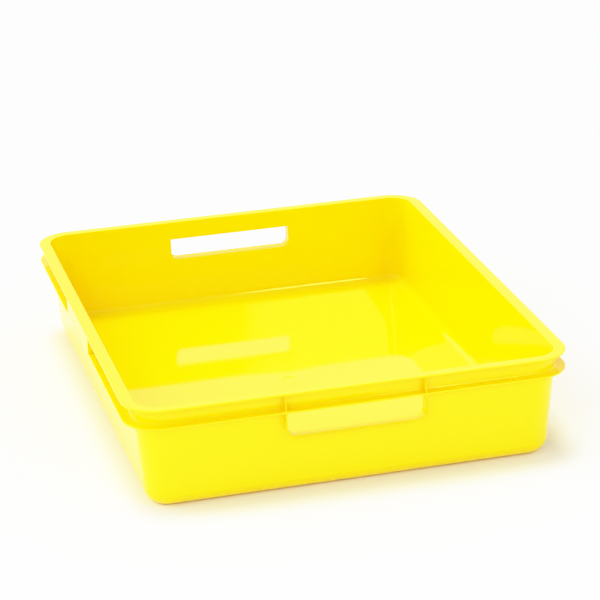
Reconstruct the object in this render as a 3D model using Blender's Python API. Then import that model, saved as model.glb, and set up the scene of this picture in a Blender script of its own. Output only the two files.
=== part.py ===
"""A deep, open tray for darkroom baths: one yellow polypropylene moulding.

The tray is a drafted tub with a flat rim, a second flange under the rim, a hand slot with
a raised lip in each end wall and a label panel on each long side. It is modelled as the
features that a mould maker would name: the tub, the rim and the flange are each split into
four sides and four corners, and every feature is a closed solid of its own.

Metres, +Z up. The origin is the middle of the footprint, on the surface the tray stands on.
X runs along the short ends, which carry the hand slots, and Y along the long sides.
"""

import math

import bmesh
import bpy
from mathutils import Matrix, Vector

MM = 0.001

# Driving dimensions, in millimetres
WIDTH = 420.0            # across the rim, along X
LENGTH = 504.0           # across the rim, along Y
HEIGHT = 102.0           # from the foot to the top of the rim
RIM_THICKNESS = 2.0
RIM_CORNER_RADIUS = 34.0
RIM_WIDTH_SIDE = 11.6    # from the outer edge to the mouth, on the long sides
RIM_WIDTH_END = 10.0     # the same on the ends
MOUTH_CORNER_RADIUS = 23.3
WALL = 2.4
DRAFT_SIDE = 0.090       # how far a long side leans in, per millimetre of depth
DRAFT_END = 0.050        # the same for an end wall
CORNER_TAPER = 0.045     # how much the corner radius shrinks, per millimetre of depth
FLANGE_UNDERSIDE = 82.8  # height of the lower flange's underside
FLOOR_TOP = 8.0
FLOOR_THICKNESS = 2.6
FLOOR_FILLET = 8.5       # inside, between floor and wall
FOOT_FILLET = 13.0       # outside, between wall and foot
FOOT_WIDTH = 2.5
GATE_DIAMETER = 15.0     # the round mark in the middle of the floor
GATE_DEPTH = 0.4
SLOT_HALF_WIDTH = 65.0
SLOT_BOTTOM = 60.6
SLOT_CORNER_RADIUS = 7.5
LIP = 1.6                # thickness of the lip round a slot, and of the ribs above it
PANEL_HALF_LENGTH = 56.0
PANEL_THICKNESS = 1.6
CORNER_ZONE = 42.0       # the corner features start this far in from the rim's outer edge
GAP = 0.3                # clearance between neighbouring features
ARC_STEPS = 10           # flats in a quarter circle of the plan
FILLET_STEPS = 6         # flats in a quarter circle of a fillet

# Sizes that follow from them
HALF_X = WIDTH / 2
HALF_Y = LENGTH / 2
WALL_HALF_X = HALF_X - RIM_WIDTH_SIDE + WALL     # outside of the wall, at rim height
WALL_HALF_Y = HALF_Y - RIM_WIDTH_END + WALL
WALL_RADIUS = MOUTH_CORNER_RADIUS + WALL
RIM_UNDERSIDE = HEIGHT - RIM_THICKNESS
FLANGE_TOP = FLANGE_UNDERSIDE + RIM_THICKNESS
WALL_FOOT = FLOOR_TOP + FLOOR_FILLET + 1.5       # where the wall ends and the base begins
FLOOR_EDGE = FOOT_FILLET + FOOT_WIDTH            # how far in the base ends and the floor starts
ZONE_X = HALF_X - CORNER_ZONE
ZONE_Y = HALF_Y - CORNER_ZONE

TRAY_YELLOW = (0.95, 0.80, 0.0, 1.0)


# ---------------------------------------------------------------- scene and materials

def clear_scene():
    for item in list(bpy.data.objects):
        bpy.data.objects.remove(item, do_unlink=True)


def make_collection(name):
    collection = bpy.data.collections.new(name)
    bpy.context.scene.collection.children.link(collection)
    return collection


def moulded_plastic(name, roughness):
    material = bpy.data.materials.new(name)
    material.use_nodes = True
    shader = material.node_tree.nodes["Principled BSDF"]
    shader.inputs["Base Color"].default_value = TRAY_YELLOW
    shader.inputs["Roughness"].default_value = roughness
    shader.inputs["Metallic"].default_value = 0.0
    material.diffuse_color = TRAY_YELLOW
    return material


def add_object(name, mesh_builder, collection, roughness=0.2):
    """Makes an object from a bmesh in millimetres."""
    bmesh.ops.recalc_face_normals(mesh_builder, faces=mesh_builder.faces)
    bmesh.ops.scale(mesh_builder, vec=Vector((MM, MM, MM)), verts=mesh_builder.verts)
    mesh = bpy.data.meshes.new(name)
    mesh_builder.to_mesh(mesh)
    mesh_builder.free()
    mesh.shade_smooth()
    mesh.set_sharp_from_angle(angle=math.radians(30))
    mesh.materials.append(moulded_plastic(name + "_plastic", roughness))
    item = bpy.data.objects.new(name, mesh)
    collection.objects.link(item)
    return item


def cut(item, cutter):
    cutter.hide_render = True
    cutter.display_type = "WIRE"
    boolean = item.modifiers.new("cut_" + cutter.name, "BOOLEAN")
    boolean.operation = "DIFFERENCE"
    boolean.solver = "EXACT"
    boolean.object = cutter


# ---------------------------------------------------------------- the tub's sections

def wall_section(height, inset):
    """Half sizes and corner radius of the tub at a height, inset from its outer face."""
    depth = HEIGHT - height
    return (
        WALL_HALF_X - DRAFT_SIDE * depth - inset,
        WALL_HALF_Y - DRAFT_END * depth - inset,
        WALL_RADIUS - CORNER_TAPER * depth - inset,
        height,
    )


def rim_section(height):
    return (HALF_X, HALF_Y, RIM_CORNER_RADIUS, height)


def mouth_section(height):
    return (HALF_X - RIM_WIDTH_SIDE, HALF_Y - RIM_WIDTH_END, MOUTH_CORNER_RADIUS, height)


def wall_profile():
    low, high = WALL_FOOT + GAP, RIM_UNDERSIDE - GAP
    return [wall_section(low, 0), wall_section(high, 0),
            wall_section(high, WALL), wall_section(low, WALL)]


def rim_profile():
    return [rim_section(RIM_UNDERSIDE), rim_section(HEIGHT),
            mouth_section(HEIGHT), mouth_section(RIM_UNDERSIDE)]


def flange_profile():
    return [rim_section(FLANGE_UNDERSIDE), rim_section(FLANGE_TOP),
            wall_section(FLANGE_TOP, -GAP), wall_section(FLANGE_UNDERSIDE, -GAP)]


def fillet(centre_inset, centre_height, radius, start_deg, end_deg):
    """Sections along a fillet. Angle 0 points outwards and -90 points down."""
    sections = []
    for step in range(FILLET_STEPS + 1):
        angle = math.radians(start_deg + (end_deg - start_deg) * step / FILLET_STEPS)
        sections.append(wall_section(centre_height + radius * math.sin(angle),
                                     centre_inset - radius * math.cos(angle)))
    return sections


def base_profile():
    """Outer fillet, foot, the joint with the floor and inner fillet, in that order."""
    outside = fillet(FOOT_FILLET, FOOT_FILLET, FOOT_FILLET, 0, -90)
    inside = fillet(WALL + FLOOR_FILLET, FLOOR_TOP + FLOOR_FILLET, FLOOR_FILLET, -90, 0)
    return [wall_section(WALL_FOOT, 0), *outside,
            wall_section(0, FLOOR_EDGE), wall_section(FLOOR_TOP, FLOOR_EDGE),
            *inside, wall_section(WALL_FOOT, WALL)]


# ---------------------------------------------------------------- sides and corners

def side_path(section, turn):
    """The two ends of a section's straight run on one side. Turn 0 is the front."""
    half_x, half_y, _, height = section
    along, across = (ZONE_X, half_y) if turn % 2 == 0 else (ZONE_Y, half_x)
    along -= GAP / 2
    turned = Matrix.Rotation(turn * math.pi / 2, 3, "Z")
    return [turned @ Vector((x, -across, height)) for x in (-along, along)]


def corner_path(section, sign_x, sign_y):
    """A section's way round one corner, with a short straight run at each end."""
    half_x, half_y, radius, height = section
    points = [(half_x, ZONE_Y + GAP / 2)]
    for step in range(ARC_STEPS + 1):
        angle = math.pi / 2 * step / ARC_STEPS
        points.append((half_x - radius + radius * math.cos(angle),
                       half_y - radius + radius * math.sin(angle)))
    points.append((ZONE_X + GAP / 2, half_y))
    return [Vector((sign_x * x, sign_y * y, height)) for x, y in points]


def loft(paths):
    """A closed solid through paths of equal length, one for each point of a profile."""
    shape = bmesh.new()
    rows = [[shape.verts.new(point) for point in path] for path in paths]
    for row, following in zip(rows, rows[1:] + rows[:1]):
        for index in range(len(row) - 1):
            shape.faces.new((row[index], row[index + 1],
                             following[index + 1], following[index]))
    shape.faces.new([row[0] for row in rows])
    shape.faces.new([row[-1] for row in reversed(rows)])
    return shape


SIDES = {"front": 0, "right": 1, "rear": 2, "left": 3}
CORNERS = {"front_left": (-1, -1), "front_right": (1, -1),
           "rear_left": (-1, 1), "rear_right": (1, 1)}


def make_band(side_name, corner_name, profile, collection, roughness=0.2):
    """Makes a profile's four sides and four corners, and gives them by name."""
    made = {}
    for side, turn in SIDES.items():
        name = side_name.format(side)
        shape = loft([side_path(section, turn) for section in profile])
        made[name] = add_object(name, shape, collection, roughness)
    for corner, (sign_x, sign_y) in CORNERS.items():
        name = corner_name.format(corner)
        shape = loft([corner_path(section, sign_x, sign_y) for section in profile])
        made[name] = add_object(name, shape, collection, roughness)
    return made


# ---------------------------------------------------------------- floor

def make_floor_panel(collection, cutters):
    """A flat plate inside the base's edge, with the round mark of the mould's gate."""
    underside = FLOOR_TOP - FLOOR_THICKNESS
    shape = bmesh.new()
    half_x, half_y, radius, _ = wall_section(FLOOR_TOP, FLOOR_EDGE + GAP)
    outline = []
    for turn, (sign_x, sign_y) in enumerate(((1, 1), (-1, 1), (-1, -1), (1, -1))):
        for step in range(ARC_STEPS + 1):
            angle = math.pi / 2 * (turn + step / ARC_STEPS)
            outline.append(shape.verts.new((
                sign_x * (half_x - radius) + radius * math.cos(angle),
                sign_y * (half_y - radius) + radius * math.sin(angle), underside)))
    plate = shape.faces.new(outline)
    grown = bmesh.ops.extrude_face_region(shape, geom=[plate])
    raised = [item for item in grown["geom"] if isinstance(item, bmesh.types.BMVert)]
    bmesh.ops.translate(shape, vec=(0, 0, FLOOR_THICKNESS), verts=raised)
    floor = add_object("floor_panel", shape, collection)

    mark = bmesh.new()
    bmesh.ops.create_cone(mark, cap_ends=True, segments=32, radius1=GATE_DIAMETER / 2,
                          radius2=GATE_DIAMETER / 2, depth=2 * GATE_DEPTH,
                          matrix=Matrix.Translation((0, 0, FLOOR_TOP)))
    cut(floor, add_object("gate_mark_cutter", mark, cutters))


# ---------------------------------------------------------------- hand slots

def u_outline(half_width, top, bottom, radius):
    """A U in X and Z, from its top left end down and round to its top right end."""
    points = [(-half_width, top)]
    for centre_x, first in ((-half_width + radius, 180), (half_width - radius, 270)):
        for step in range(FILLET_STEPS + 1):
            angle = math.radians(first + 90 * step / FILLET_STEPS)
            points.append((centre_x + radius * math.cos(angle),
                           bottom + radius + radius * math.sin(angle)))
    points.append((half_width, top))
    return points


def wall_face_y(height, clearance):
    return -(wall_section(height, -clearance)[1])


def end_solid(outline, sign_y, outer, inner):
    """A solid on an end wall: an outline in X and Z between two faces.

    outer and inner give the distance from the middle as a (negative) Y for a height.
    """
    paths = [[Vector((x, -sign_y * outer(z), z)), Vector((x, -sign_y * inner(z), z))]
             for x, z in outline]
    return loft(paths)


def make_slot(wall, sign_y, cutters, name):
    outline = u_outline(SLOT_HALF_WIDTH, FLANGE_UNDERSIDE, SLOT_BOTTOM, SLOT_CORNER_RADIUS)
    shape = end_solid(outline, sign_y, lambda z: -HALF_Y, lambda z: -ZONE_Y)
    cut(wall, add_object(name, shape, cutters))


def make_handle_lip(name, sign_y, collection):
    """A thin U round the slot, from the wall out to the flange's outer edge."""
    top = FLANGE_UNDERSIDE - GAP
    inner = u_outline(SLOT_HALF_WIDTH, top, SLOT_BOTTOM, SLOT_CORNER_RADIUS)
    outer = u_outline(SLOT_HALF_WIDTH + LIP, top, SLOT_BOTTOM - LIP, SLOT_CORNER_RADIUS + LIP)
    shape = end_solid(outer + inner[::-1], sign_y, lambda z: -HALF_Y,
                      lambda z: wall_face_y(z, GAP))
    return add_object(name, shape, collection)


def make_handle_rib(name, sign_x, sign_y, collection):
    """A thin rib above one end of a slot, between the flange and the rim."""
    low, high = FLANGE_TOP + GAP, RIM_UNDERSIDE - GAP
    near, far = sign_x * SLOT_HALF_WIDTH, sign_x * (SLOT_HALF_WIDTH + LIP)
    outline = [(near, low), (far, low), (far, high), (near, high)]
    shape = end_solid(outline, sign_y, lambda z: -HALF_Y, lambda z: wall_face_y(z, GAP))
    return add_object(name, shape, collection)


# ---------------------------------------------------------------- label panels

def panel_outline(height):
    """Half of the panel's plan: a plate with a rib back to the wall at each end."""
    wall_x = wall_section(height, -GAP)[0]
    plate_x = HALF_X - PANEL_THICKNESS
    rib_y = PANEL_HALF_LENGTH - PANEL_THICKNESS
    half = [(HALF_X, PANEL_HALF_LENGTH), (wall_x, PANEL_HALF_LENGTH),
            (wall_x, rib_y), (plate_x, rib_y)]
    return half + [(x, -y) for x, y in reversed(half)]


def make_label_panel(name, sign_x, collection):
    low, high = FLANGE_TOP + GAP, RIM_UNDERSIDE - GAP
    paths = [[Vector((sign_x * x0, y0, low)), Vector((sign_x * x1, y1, high))]
             for (x0, y0), (x1, y1) in zip(panel_outline(low), panel_outline(high))]
    return add_object(name, loft(paths), collection, roughness=0.3)


# ---------------------------------------------------------------- the tray

def main():
    clear_scene()
    tray = make_collection("developing_tray")
    cutters = make_collection("cutters")
    make_floor_panel(tray, cutters)
    make_band("bottom_edge_{}", "bottom_corner_{}", base_profile(), tray)
    walls = make_band("{}_wall", "{}_wall_corner", wall_profile(), tray)
    make_band("lower_flange_{}", "lower_flange_corner_{}", flange_profile(), tray)
    make_band("top_rim_{}", "top_rim_corner_{}", rim_profile(), tray)
    for end, sign_y in (("front", -1), ("rear", 1)):
        make_slot(walls[end + "_wall"], sign_y, cutters, end + "_slot_cutter")
        make_handle_lip(end + "_handle_lip", sign_y, tray)
        for side, sign_x in (("left", -1), ("right", 1)):
            make_handle_rib(f"{end}_handle_rib_{side}", sign_x, sign_y, tray)
    make_label_panel("left_label_panel", -1, tray)
    make_label_panel("right_label_panel", 1, tray)


main()
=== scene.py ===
import math

import bmesh
import bpy
from mathutils import Matrix, Vector


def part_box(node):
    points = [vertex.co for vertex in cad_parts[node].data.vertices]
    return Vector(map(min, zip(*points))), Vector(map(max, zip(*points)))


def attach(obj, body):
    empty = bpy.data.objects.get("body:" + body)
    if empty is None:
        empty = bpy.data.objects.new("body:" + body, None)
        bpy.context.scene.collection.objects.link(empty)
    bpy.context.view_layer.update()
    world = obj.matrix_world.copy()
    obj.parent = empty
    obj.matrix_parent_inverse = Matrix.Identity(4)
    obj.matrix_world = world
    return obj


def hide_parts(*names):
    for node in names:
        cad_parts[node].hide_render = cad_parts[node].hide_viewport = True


# The looks of the developing tray: one glossy yellow moulding, as a smooth shell with its
# lower flange, hand slot lips, ribs and label panels. Metres, +Z up, in the frame's own axes.

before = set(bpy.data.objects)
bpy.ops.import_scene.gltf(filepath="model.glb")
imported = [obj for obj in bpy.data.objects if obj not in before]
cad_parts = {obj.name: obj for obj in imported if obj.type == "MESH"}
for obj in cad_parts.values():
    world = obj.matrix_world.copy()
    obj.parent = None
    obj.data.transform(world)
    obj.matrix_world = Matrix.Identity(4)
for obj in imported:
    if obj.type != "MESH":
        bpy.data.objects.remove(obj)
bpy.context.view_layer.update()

MM = 0.001

# Sizes that the frame gives
HALF_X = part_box("top_rim_right")[1].x
HALF_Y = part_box("top_rim_rear")[1].y
MOUTH_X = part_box("top_rim_right")[0].x
MOUTH_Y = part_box("top_rim_rear")[0].y
RIM_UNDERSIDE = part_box("top_rim_front")[0].z
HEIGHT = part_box("top_rim_front")[1].z
FLANGE_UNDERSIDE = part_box("lower_flange_front")[0].z
FLANGE_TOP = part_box("lower_flange_front")[1].z
FLOOR_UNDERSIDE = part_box("floor_panel")[0].z
FLOOR_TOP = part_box("floor_panel")[1].z
SLOT_HALF_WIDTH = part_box("front_handle_rib_right")[0].x
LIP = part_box("front_handle_rib_right")[1].x - SLOT_HALF_WIDTH
SLOT_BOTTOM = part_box("front_handle_lip")[0].z + LIP
PANEL_HALF_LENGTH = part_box("right_label_panel")[1].y

# The rest of the moulding
WALL = 2.4 * MM             # thickness
RIM_CORNER_RADIUS = 34.0 * MM
MOUTH_CORNER_RADIUS = 23.3 * MM
DRAFT_SIDE = 0.090          # lean of the long sides, per unit of depth
DRAFT_END = 0.050           # lean of the ends
CORNER_TAPER = 0.045        # how the corner radius shrinks with depth
FLOOR_FILLET = 8.5 * MM
FOOT_FILLET = 13.0 * MM
FOOT_WIDTH = 2.5 * MM       # flat face of the ring that the tray stands on
FLOOR_MARGIN = 4.0 * MM     # flat strip between a floor's fillet and its rippled middle
GATE_RADIUS = 6.8 * MM      # the round mark that the mould's gate leaves
GATE_DEPTH = 0.25 * MM      # how far its edge lies below the floor
GATE_CROWN = 0.25 * MM      # how far its middle rises above its edge
GATE_STEP_WIDTH = 0.2 * MM
SLOT_CORNER_RADIUS = 7.5 * MM
PANEL_THICKNESS = 1.6 * MM

# Rounding and overlap of the visible edges
MOUTH_EDGE = 0.9 * MM
RIM_EDGE = 0.6 * MM
FOOT_EDGE = 0.6 * MM
ROOT_FILLET = 0.8 * MM
FLANGE_FILLET = 2.0 * MM
SLOT_EDGE = 0.8 * MM
LIP_EDGE = 0.5 * MM
EMBED = 0.7 * MM            # how far an attached piece reaches into the one it grows from
SKIN = 0.15 * MM            # how far a fillet's end dips under the wall that it runs out on
LIP_SPREAD = 0.25 * MM      # how much wider a lip is inside the wall, to cross the slot's face
CUT_OUTSIDE = 20.0 * MM     # how far a slot's cutter reaches past the wall's outer face
CUT_INSIDE = 4.0 * MM       # and past its inner face
SHARP_ANGLE = math.radians(35)

# Fineness of the meshes
SLIVER = 0.005 * MM         # the shortest edge that a cut may leave
ARC_STEPS = 18              # in a quarter circle of the plan
SIDE_STEPS = 26             # along a straight side
EDGE_STEPS = 4              # across a small rounded edge
FILLET_STEPS = 12           # across a larger fillet or a slot's round corner
WALL_ROWS = 8               # up a wall, between its rounded ends
FLOOR_ROWS = 30             # from the gate mark out to the floor's edge
GATE_ROWS = 5               # across the gate mark

# The floor isn't dead flat: it dishes a little and is rippled by the plastic's shrinking
WARP_DISH = 0.25 * MM
WARP_RIPPLE = 0.10 * MM
RIPPLE_ACROSS = (5.0, 0.6)  # radians from the middle to the edge, and the phase in the middle
RIPPLE_ALONG = (4.0, -0.4)
GATE_SWELL = 0.20 * MM      # the floor rises a little round the gate mark
GATE_SWELL_REACH = 18.0 * MM

# Plastic
PLASTIC_IOR = 1.48
SHEEN_TINT = (1.0, 1.0, 0.3, 1.0)
DEEP_YELLOW = (0.965, 0.76, 0.0, 1.0)
LIGHT_YELLOW = (0.97, 0.77, 0.0, 1.0)
ROUGHNESS = (0.035, 0.06)
CLOUDS = (9.0, 3.0)         # scale and detail of the noise behind the colour,
HAZE = (38.0, 4.0)          # of the one behind the gloss,
PEEL = (260.0, 2.0)         # and of the orange peel
NOISE_SPAN = (0.3, 0.7)     # the part of a noise that the colour and the gloss follow
PEEL_STRENGTH = 0.04
PEEL_DEPTH = 0.3 * MM

# Camera: its heading is clockwise from +Y, its dip is below the horizon
CAMERA_PLACE = Vector((-0.5500, -2.2095, 0.9642))
CAMERA_HEADING = math.radians(14.33)
CAMERA_DIP = math.radians(20.96)
CAMERA_ROLL = math.radians(-1.885)
LENS = 147.4
SENSOR = 36.0

STAGE_HALF_SIZE = 9.0
FLOOR_WHITE = 0.89
STAGE_ROUGHNESS = 0.9

# Light: a white surround that darkens overhead and a little towards the front, banks of lamps
# that don't show in the gloss, and two softboxes that do. The front softbox draws the bright
# line along the rear fillet.
SKY_HORIZON = 1.03
SKY_OVERHEAD = 0.35
SKY_FRONT = 0.72            # the share that is left straight in front
SKY_WHITE_TO = 35           # elevations in degrees
SKY_DARK_FROM = 60
BANKS = (                   # name, place, strength, angle across in degrees
    ("left_bank", (-3.0, 0.5, 2.4), 1.1, 60),
    ("right_bank", (3.0, -1.2, 2.2), 0.2, 40),
    ("top_bank", (-0.2, 0.45, 3.0), 1.35, 22),
)
SOFTBOXES = (               # name, place, size, power
    ("front_softbox", (0.72, -2.0, 1.22), (0.30, 0.50), 6.0),
    ("left_softbox", (-1.05, -1.75, 1.35), (0.40, 0.40), 7.0),
)
LIGHT_BOUNCES = 24          # the walls light each other over and over
TONE_KNEE = 0.7             # light above this is rolled off
TONE_WHITE = 1.5            # light that shows as white
TONE_STEPS = 15
COMBINED_CURVE = 3          # which of the view's curves acts on all three colours


# ---------------------------------------------------------------- materials

def add_noise(tree, place, scale, detail):
    """A noise in the piece's own space."""
    noise = tree.nodes.new("ShaderNodeTexNoise")
    noise.inputs["Scale"].default_value = scale
    noise.inputs["Detail"].default_value = detail
    tree.links.new(place.outputs["Object"], noise.inputs["Vector"])
    return noise


def moulded_plastic():
    """Glossy yellow polypropylene: slight colour and gloss variation, and a faint orange peel."""
    material = bpy.data.materials.new("yellow_moulded_plastic")
    material.use_nodes = True
    tree = material.node_tree
    nodes, links = tree.nodes, tree.links
    shader = nodes["Principled BSDF"]
    shader.inputs["IOR"].default_value = PLASTIC_IOR
    shader.inputs["Specular Tint"].default_value = SHEEN_TINT
    place = nodes.new("ShaderNodeTexCoord")

    clouds = add_noise(tree, place, *CLOUDS)
    tint = nodes.new("ShaderNodeValToRGB")
    for end, colour in enumerate((DEEP_YELLOW, LIGHT_YELLOW)):
        tint.color_ramp.elements[end].position = NOISE_SPAN[end]
        tint.color_ramp.elements[end].color = colour
    links.new(clouds.outputs["Fac"], tint.inputs["Fac"])
    links.new(tint.outputs["Color"], shader.inputs["Base Color"])

    haze = add_noise(tree, place, *HAZE)
    gloss = nodes.new("ShaderNodeMapRange")
    gloss.inputs["From Min"].default_value = NOISE_SPAN[0]
    gloss.inputs["From Max"].default_value = NOISE_SPAN[1]
    gloss.inputs["To Min"].default_value = ROUGHNESS[0]
    gloss.inputs["To Max"].default_value = ROUGHNESS[1]
    links.new(haze.outputs["Fac"], gloss.inputs["Value"])
    links.new(gloss.outputs["Result"], shader.inputs["Roughness"])

    peel = add_noise(tree, place, *PEEL)
    bump = nodes.new("ShaderNodeBump")
    bump.inputs["Strength"].default_value = PEEL_STRENGTH
    bump.inputs["Distance"].default_value = PEEL_DEPTH
    links.new(peel.outputs["Fac"], bump.inputs["Height"])
    links.new(bump.outputs["Normal"], shader.inputs["Normal"])
    return material


def matt_white(name, value):
    """The plain matt white of the studio's floor."""
    material = bpy.data.materials.new(name)
    material.use_nodes = True
    shader = material.node_tree.nodes["Principled BSDF"]
    shader.inputs["Base Color"].default_value = (value, value, value, 1.0)
    shader.inputs["Roughness"].default_value = STAGE_ROUGHNESS
    shader.inputs["Specular IOR Level"].default_value = 0.0
    return material


# ---------------------------------------------------------------- sections and profiles
# A section is a rounded rectangle of the plan: half size in X and in Y, corner radius, height.

def wall_section(height, inset):
    """The tub at a height, inset from its outer face."""
    depth = HEIGHT - height
    return Vector((
        MOUTH_X + WALL - DRAFT_SIDE * depth - inset,
        MOUTH_Y + WALL - DRAFT_END * depth - inset,
        MOUTH_CORNER_RADIUS + WALL - CORNER_TAPER * depth - inset,
        height,
    ))


def rim_section(height):
    """The outer edge that the rim and the lower flange share."""
    return Vector((HALF_X, HALF_Y, RIM_CORNER_RADIUS, height))


def step_length(start, end):
    """Distance between two sections as seen in a cut across the long sides."""
    return math.hypot(end[0] - start[0], end[3] - start[3])


def quarter_turn(steps):
    """Pairs that run from (1, 0) to (0, 1) and round a corner off with a quarter circle."""
    angles = [math.pi / 2 * step / steps for step in range(steps + 1)]
    return [(1 - math.sin(angle), 1 - math.cos(angle)) for angle in angles]


def rounded_profile(corners, closed=False):
    """Sections along a profile whose corners are rounded.

    corners holds (section, radius, steps, rows), where rows is how many extra sections lie
    on the straight stretch that follows the corner.
    """
    count = len(corners)
    runs = []
    for index, (corner, radius, steps, _) in enumerate(corners):
        if radius == 0:
            runs.append([corner])
            continue
        before = corners[index - 1][0]
        after = corners[(index + 1) % count][0]
        start = corner.lerp(before, radius / step_length(corner, before))
        end = corner.lerp(after, radius / step_length(corner, after))
        runs.append([corner + (start - corner) * back + (end - corner) * on
                     for back, on in quarter_turn(steps)])
    sections = []
    for index, run in enumerate(runs):
        sections.extend(run)
        rows = corners[index][3]
        if index == count - 1 and not closed:
            break
        following = runs[(index + 1) % count][0]
        for row in range(1, rows + 1):
            sections.append(run[-1].lerp(following, row / (rows + 1)))
    return sections


def ring_points(section):
    """Points round a section, anticlockwise from the end of its +X side."""
    half_x, half_y, radius, height = section
    corners = ((1, 1), (-1, 1), (-1, -1), (1, -1))
    arcs = []
    for turn, (sign_x, sign_y) in enumerate(corners):
        centre = Vector((sign_x * (half_x - radius), sign_y * (half_y - radius), height))
        arc = []
        for step in range(ARC_STEPS + 1):
            angle = math.pi / 2 * (turn + step / ARC_STEPS)
            arc.append(centre + radius * Vector((math.cos(angle), math.sin(angle), 0)))
        arcs.append(arc)
    points = []
    for turn, arc in enumerate(arcs):
        points.extend(arc)
        following = arcs[(turn + 1) % 4][0]
        for step in range(1, SIDE_STEPS):
            points.append(arc[-1].lerp(following, step / SIDE_STEPS))
    return points


# ---------------------------------------------------------------- mesh helpers

def add_row(shape, points):
    """New vertices of the shape, one at each point."""
    return [shape.verts.new(point) for point in points]


def join_rows(shape, first, second, closed=True):
    """Faces between two rows of points."""
    count = len(first) if closed else len(first) - 1
    for index in range(count):
        following = (index + 1) % len(first)
        shape.faces.new((first[index], first[following], second[following], second[index]))


def add_fan(shape, row, point):
    """Closes a row of points with triangles to one point in its middle."""
    centre = shape.verts.new(point)
    for index in range(len(row)):
        shape.faces.new((row[index], row[(index + 1) % len(row)], centre))


def make_object(name, shape):
    """Turns a shape into an object whose faces all look outwards."""
    bmesh.ops.recalc_face_normals(shape, faces=shape.faces)
    if shape.calc_volume(signed=True) < 0:
        bmesh.ops.reverse_faces(shape, faces=shape.faces)
    mesh = bpy.data.meshes.new(name)
    shape.to_mesh(mesh)
    shape.free()
    item = bpy.data.objects.new(name, mesh)
    bpy.context.scene.collection.objects.link(item)
    return item


def cut(item, cutter):
    """Cuts the cutter out of the item's mesh, cleans the cut and removes the cutter."""
    boolean = item.modifiers.new("cut", "BOOLEAN")
    boolean.operation = "DIFFERENCE"
    boolean.solver = "EXACT"
    boolean.object = cutter
    depsgraph = bpy.context.evaluated_depsgraph_get()
    mesh = bpy.data.meshes.new_from_object(item.evaluated_get(depsgraph))
    item.modifiers.clear()
    item.data = mesh
    bpy.data.objects.remove(cutter)
    shape = bmesh.new()
    shape.from_mesh(mesh)
    bmesh.ops.dissolve_degenerate(shape, dist=SLIVER, edges=shape.edges)
    shape.to_mesh(mesh)
    shape.free()


def finish_piece(item, material, *nodes):
    """Shades a piece, puts it on the tray's body and hides the CAD nodes that it stands for."""
    mesh = item.data
    mesh.name = item.name
    mesh.shade_smooth()
    mesh.set_sharp_from_angle(angle=SHARP_ANGLE)
    mesh.materials.clear()
    mesh.materials.append(material)
    even = item.modifiers.new("even_shading", "WEIGHTED_NORMAL")
    even.mode = "FACE_AREA"
    even.keep_sharp = True
    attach(item, "root")
    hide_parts(*nodes)


# ---------------------------------------------------------------- tub

def floor_warp(point):
    """How far the floor lies off its plane, fading to nothing at its edges."""
    edge = wall_section(FLOOR_TOP, WALL + FLOOR_FILLET)
    across, along = point.x / edge[0], point.y / edge[1]
    fade = max(0.0, 1 - across ** 4) * max(0.0, 1 - along ** 4)
    dish = (1 - across ** 2) * (1 - along ** 2)
    ripple = (math.cos(RIPPLE_ACROSS[0] * across + RIPPLE_ACROSS[1])
              * math.cos(RIPPLE_ALONG[0] * along + RIPPLE_ALONG[1]))
    swell = math.exp(-(point.x ** 2 + point.y ** 2) / (2 * GATE_SWELL_REACH ** 2))
    return fade * (WARP_RIPPLE * ripple - WARP_DISH * dish) + GATE_SWELL * swell


def floor_rows(edge_points, inner_radius, height):
    """Rows from a circle in the middle of the floor out to its edge."""
    rows = []
    for row in range(FLOOR_ROWS):
        share = row / FLOOR_ROWS
        points = []
        for point in edge_points:
            outwards = Vector((point.x, point.y, 0))
            circle = outwards.normalized() * inner_radius
            place = circle.lerp(outwards, share)
            points.append(Vector((place.x, place.y, height + floor_warp(place))))
        rows.append(points)
    return rows


def circle_row(edge_points, radius, height):
    """A circle round the middle of the floor, with a point towards each point of the edge."""
    row = []
    for point in edge_points:
        place = Vector((point.x, point.y, 0)).normalized() * radius
        row.append(Vector((place.x, place.y, height + floor_warp(place))))
    return row


def tub_profile():
    """From the floor's edge up the inside, over the rim and down to the foot's inner side."""
    foot = FOOT_FILLET + FOOT_WIDTH
    return rounded_profile([
        (wall_section(FLOOR_TOP, WALL + FLOOR_FILLET + FLOOR_MARGIN), 0, 0, 0),
        (wall_section(FLOOR_TOP, WALL), FLOOR_FILLET, FILLET_STEPS, WALL_ROWS),
        (wall_section(HEIGHT, WALL), MOUTH_EDGE, EDGE_STEPS, 1),
        (rim_section(HEIGHT), RIM_EDGE, EDGE_STEPS, 1),
        (rim_section(RIM_UNDERSIDE), RIM_EDGE, EDGE_STEPS, 1),
        (wall_section(RIM_UNDERSIDE, 0), ROOT_FILLET, EDGE_STEPS, WALL_ROWS),
        (wall_section(0, 0), FOOT_FILLET, FILLET_STEPS, 1),
        (wall_section(0, foot), FOOT_EDGE, EDGE_STEPS, 1),
        (wall_section(FLOOR_UNDERSIDE, foot), ROOT_FILLET, EDGE_STEPS, 0),
        (wall_section(FLOOR_UNDERSIDE, foot + FLOOR_MARGIN), 0, 0, 0),
    ])


def gate_rows(edge_points):
    """The round mark that the mould's gate leaves, crowned in a shallow step, middle outwards."""
    rows = []
    for step in range(1, GATE_ROWS + 1):
        share = step / GATE_ROWS
        crown = GATE_CROWN * (1 - share ** 2)
        rows.append(circle_row(edge_points, GATE_RADIUS * share, FLOOR_TOP - GATE_DEPTH + crown))
    rows.append(circle_row(edge_points, GATE_RADIUS + GATE_STEP_WIDTH, FLOOR_TOP))
    return rows


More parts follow.
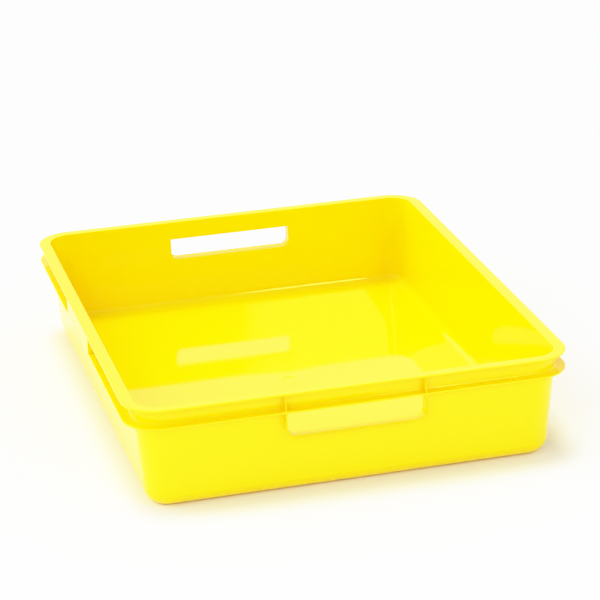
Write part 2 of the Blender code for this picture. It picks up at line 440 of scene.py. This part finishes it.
def make_tub():
    """Floor, walls, rim and foot as one closed shell, without the hand slots."""
    rows = [ring_points(section) for section in tub_profile()]
    inside, underneath = rows[0], rows[-1]
    top = gate_rows(inside) + floor_rows(inside, GATE_RADIUS + 2 * GATE_STEP_WIDTH, FLOOR_TOP)
    below = floor_rows(underneath, GATE_RADIUS, FLOOR_UNDERSIDE)
    all_rows = top + rows + below[::-1]
    shape = bmesh.new()
    placed = [add_row(shape, row) for row in all_rows]
    for first, second in zip(placed, placed[1:]):
        join_rows(shape, first, second)
    middle = Vector((0, 0, 0))
    add_fan(shape, placed[0], (0, 0, FLOOR_TOP - GATE_DEPTH + GATE_CROWN + floor_warp(middle)))
    add_fan(shape, placed[-1], (0, 0, FLOOR_UNDERSIDE + floor_warp(middle)))
    return make_object("tray_shell", shape)


# ---------------------------------------------------------------- hand slots

def u_outline(grow, top):
    """A U in X and Z round a slot, grown outwards, from its top left end to its top right."""
    half_width = SLOT_HALF_WIDTH + grow
    bottom = SLOT_BOTTOM - grow
    radius = SLOT_CORNER_RADIUS + grow
    points = [(-half_width, top), (-half_width, (top + bottom + radius) / 2)]
    for centre_x, first in ((-half_width + radius, 180), (half_width - radius, 270)):
        for step in range(FILLET_STEPS + 1):
            angle = math.radians(first + 90 * step / FILLET_STEPS)
            points.append((centre_x + radius * math.cos(angle),
                           bottom + radius + radius * math.sin(angle)))
    points += [(half_width, (top + bottom + radius) / 2), (half_width, top)]
    return points


def wall_y(height, inset):
    """How far an end wall lies from the middle at a height."""
    return wall_section(height, inset)[1]


def slot_cutter(sign_y):
    """Fills a slot, and flares where it meets the wall's inner face, to round that edge."""
    stations = [(-CUT_OUTSIDE, 0.0)]
    for back, on in quarter_turn(EDGE_STEPS):
        stations.append((WALL - SLOT_EDGE * back, SLOT_EDGE * on))
    stations.append((WALL + CUT_INSIDE, SLOT_EDGE))
    shape = bmesh.new()
    rows = []
    for inset, grow in stations:
        outline = u_outline(grow, FLANGE_UNDERSIDE + grow)
        rows.append(add_row(shape, [(x, sign_y * wall_y(z, inset), z) for x, z in outline]))
    for first, second in zip(rows, rows[1:]):
        join_rows(shape, first, second)
    shape.faces.new(rows[0])
    shape.faces.new(rows[-1])
    return make_object("slot_cutter", shape)


def make_lip(name, sign_y):
    """The raised U round a slot, from inside the wall to the flange's outer edge."""
    top = FLANGE_UNDERSIDE + EMBED
    turn = quarter_turn(EDGE_STEPS)
    free_edge = [(LIP_EDGE * back, HALF_Y - LIP_EDGE * on) for back, on in turn]
    free_edge += [(LIP - grow, distance) for grow, distance in reversed(free_edge)]
    shape = bmesh.new()
    rows = []

    def row_at(grow, y_of_height):
        outline = u_outline(grow, top)
        rows.append(add_row(shape, [(x, sign_y * y_of_height(z), z) for x, z in outline]))

    row_at(LIP_SPREAD, lambda z: wall_y(z, EMBED))
    row_at(0.0, lambda z: wall_y(z, 0))
    for grow, distance in free_edge:
        row_at(grow, lambda z, distance=distance: distance)
    for back, on in turn:
        row_at(LIP + ROOT_FILLET * on, lambda z, out=ROOT_FILLET * back: wall_y(z, -out))
    row_at(LIP + ROOT_FILLET, lambda z: wall_y(z, EMBED))
    for first, second in zip(rows, rows[1:] + rows[:1]):
        join_rows(shape, first, second, closed=False)
    shape.faces.new([row[0] for row in rows])
    shape.faces.new([row[-1] for row in reversed(rows)])
    return make_object(name, shape)


def make_rib(name, sign_x, sign_y):
    """The thin rib above one end of a slot, between the flange and the rim."""
    low, high = FLANGE_TOP - EMBED, RIM_UNDERSIDE + EMBED
    turn = quarter_turn(EDGE_STEPS)
    free = [(LIP_EDGE * back, HALF_Y - LIP_EDGE * on) for back, on in turn]
    free += [(LIP - x, y) for x, y in reversed(free)]
    root = [(ROOT_FILLET * on, ROOT_FILLET * back) for back, on in turn]
    shape = bmesh.new()
    rows = []
    for height in (low, high):
        near = [(-side, wall_y(height, -out)) for side, out in reversed(root)]
        far = [(LIP + side, wall_y(height, -out)) for side, out in root]
        inside = [(LIP + ROOT_FILLET, wall_y(height, EMBED)),
                  (-ROOT_FILLET, wall_y(height, EMBED))]
        outline = near + free + far + inside
        rows.append(add_row(shape, [(sign_x * (SLOT_HALF_WIDTH + x), sign_y * y, height)
                                    for x, y in outline]))
    join_rows(shape, rows[0], rows[1])
    shape.faces.new(rows[0])
    shape.faces.new(list(reversed(rows[1])))
    return make_object(name, shape)


# ---------------------------------------------------------------- flange and panels

def make_flange():
    """The lower flange: one flat ring round the tub, filleted into the wall above it."""
    fillet_top = FLANGE_TOP + FLANGE_FILLET + ROOT_FILLET
    profile = rounded_profile([
        (rim_section(FLANGE_TOP), RIM_EDGE, EDGE_STEPS, 1),
        (rim_section(FLANGE_UNDERSIDE), RIM_EDGE, EDGE_STEPS, 1),
        (wall_section(FLANGE_UNDERSIDE, 0), 0, 0, 0),
        (wall_section(FLANGE_UNDERSIDE, EMBED), 0, 0, 0),
        (wall_section(fillet_top, EMBED), 0, 0, 0),
        (wall_section(fillet_top, SKIN), 0, 0, 0),
        (wall_section(FLANGE_TOP, 0), FLANGE_FILLET, FILLET_STEPS, 1),
    ], closed=True)
    shape = bmesh.new()
    rows = [add_row(shape, ring_points(section)) for section in profile]
    for first, second in zip(rows, rows[1:] + rows[:1]):
        join_rows(shape, first, second)
    return make_object("lower_flange", shape)


def make_panel(name, sign_x):
    """A flat plate level with the rim's edge, with a rib back to the wall at each end."""
    low, high = FLANGE_TOP - EMBED, RIM_UNDERSIDE + EMBED
    rib_y = PANEL_HALF_LENGTH - PANEL_THICKNESS
    back_x = HALF_X - PANEL_THICKNESS
    turn = quarter_turn(EDGE_STEPS)
    shape = bmesh.new()
    rows = []
    for height in (low, high):
        wall_x = wall_section(height, 0)[0]
        buried = wall_x - EMBED
        half = [(HALF_X - LIP_EDGE * on, PANEL_HALF_LENGTH - LIP_EDGE * back)
                for back, on in turn]
        half += [(wall_x + ROOT_FILLET * back, PANEL_HALF_LENGTH + ROOT_FILLET * on)
                 for back, on in turn]
        half += [(buried, PANEL_HALF_LENGTH + ROOT_FILLET), (buried, rib_y)]
        half += [(back_x - ROOT_FILLET * back, rib_y - ROOT_FILLET * on) for back, on in turn]
        outline = half + [(x, -y) for x, y in reversed(half)]
        rows.append(add_row(shape, [(sign_x * x, y, height) for x, y in outline]))
    join_rows(shape, rows[0], rows[1])
    shape.faces.new(rows[0])
    shape.faces.new(list(reversed(rows[1])))
    return make_object(name, shape)


# ---------------------------------------------------------------- the tray

def nodes_named(*words):
    """CAD nodes whose name holds one of the words."""
    return sorted(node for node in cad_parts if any(word in node for word in words))


def make_tray():
    """The ten pieces, each in place of the CAD nodes that it stands for."""
    plastic = moulded_plastic()
    tub = make_tub()
    for sign_y in (-1, 1):
        cut(tub, slot_cutter(sign_y))
    finish_piece(tub, plastic, *nodes_named("_wall", "bottom_", "top_rim", "floor_panel"))
    finish_piece(make_flange(), plastic, *nodes_named("lower_flange"))
    for end, sign_y in (("front", -1), ("rear", 1)):
        lip = make_lip(end + "_slot_lip", sign_y)
        finish_piece(lip, plastic, end + "_handle_lip")
        for side, sign_x in (("left", -1), ("right", 1)):
            rib = make_rib(f"{end}_slot_rib_{side}", sign_x, sign_y)
            finish_piece(rib, plastic, f"{end}_handle_rib_{side}")
    for side, sign_x in (("left", -1), ("right", 1)):
        panel = make_panel(side + "_panel", sign_x)
        finish_piece(panel, plastic, side + "_label_panel")


# ---------------------------------------------------------------- stage, light and camera

def make_stage():
    """One wide white floor."""
    shape = bmesh.new()
    bmesh.ops.create_grid(shape, x_segments=1, y_segments=1, size=STAGE_HALF_SIZE)
    floor = make_object("studio_floor", shape)
    floor.data.materials.append(matt_white("studio_white", FLOOR_WHITE))


def make_world():
    """A white surround, darker overhead and a little darker towards the front."""
    world = bpy.data.worlds.new("studio")
    world.use_nodes = True
    nodes, links = world.node_tree.nodes, world.node_tree.links
    background = nodes["Background"]
    background.inputs["Color"].default_value = (1.0, 1.0, 1.0, 1.0)
    direction = nodes.new("ShaderNodeTexCoord")
    parts = nodes.new("ShaderNodeSeparateXYZ")
    links.new(direction.outputs["Generated"], parts.inputs["Vector"])
    fall = nodes.new("ShaderNodeMapRange")
    fall.inputs["From Min"].default_value = math.sin(math.radians(SKY_WHITE_TO))
    fall.inputs["From Max"].default_value = math.sin(math.radians(SKY_DARK_FROM))
    fall.inputs["To Min"].default_value = SKY_HORIZON
    fall.inputs["To Max"].default_value = SKY_OVERHEAD
    links.new(parts.outputs["Z"], fall.inputs["Value"])
    front = nodes.new("ShaderNodeMapRange")
    front.inputs["From Min"].default_value = -1.0
    front.inputs["From Max"].default_value = 0.0
    front.inputs["To Min"].default_value = SKY_FRONT
    front.inputs["To Max"].default_value = 1.0
    links.new(parts.outputs["Y"], front.inputs["Value"])
    both = nodes.new("ShaderNodeMath")
    both.operation = "MULTIPLY"
    links.new(fall.outputs["Result"], both.inputs[0])
    links.new(front.outputs["Result"], both.inputs[1])
    links.new(both.outputs["Value"], background.inputs["Strength"])
    bpy.context.scene.world = world


def add_lamp(name, kind, place, strength):
    """A lamp at a place, aimed at the middle of the tray."""
    lamp = bpy.data.lights.new(name, kind)
    lamp.energy = strength
    item = bpy.data.objects.new(name, lamp)
    item.location = place
    item.rotation_euler = (-Vector(place)).to_track_quat("-Z", "Y").to_euler()
    bpy.context.scene.collection.objects.link(item)
    return item


def make_light():
    """The surround, the banks and the softboxes, and enough bounces for the tray's inside."""
    make_world()
    for name, place, strength, angle in BANKS:
        bank = add_lamp(name, "SUN", place, strength)
        bank.data.angle = math.radians(angle)
        bank.visible_glossy = False
    for name, place, size, power in SOFTBOXES:
        softbox = add_lamp(name, "AREA", place, power).data
        softbox.shape = "RECTANGLE"
        softbox.size, softbox.size_y = size
    scene = bpy.context.scene
    scene.cycles.max_bounces = LIGHT_BOUNCES
    scene.cycles.diffuse_bounces = LIGHT_BOUNCES


def set_exposure_curve():
    """Standard colours, with the highlights rolled off above a knee as a camera does."""
    view = bpy.context.scene.view_settings
    view.view_transform = "Standard"
    view.use_curve_mapping = True
    mapping = view.curve_mapping
    mapping.white_level = (TONE_WHITE, TONE_WHITE, TONE_WHITE)
    curve = mapping.curves[COMBINED_CURVE]
    headroom = 1 - TONE_KNEE
    for step in range(1, TONE_STEPS):
        light = TONE_WHITE * step / TONE_STEPS
        over = max(0.0, light - TONE_KNEE)
        shown = min(light, TONE_KNEE) + headroom * math.tanh(over / headroom)
        curve.points.new(light / TONE_WHITE, shown)
    mapping.update()


def make_camera():
    """The photo's view, without any shift of the lens."""
    lens = bpy.data.cameras.new("camera")
    lens.lens = LENS
    lens.sensor_width = SENSOR
    camera = bpy.data.objects.new("camera", lens)
    turn = (Matrix.Rotation(-CAMERA_HEADING, 4, "Z")
            @ Matrix.Rotation(math.pi / 2 - CAMERA_DIP, 4, "X")
            @ Matrix.Rotation(CAMERA_ROLL, 4, "Z"))
    camera.matrix_world = Matrix.Translation(CAMERA_PLACE) @ turn
    bpy.context.scene.collection.objects.link(camera)
    bpy.context.scene.camera = camera


make_camera()
make_light()
set_exposure_curve()
make_stage()
make_tray()
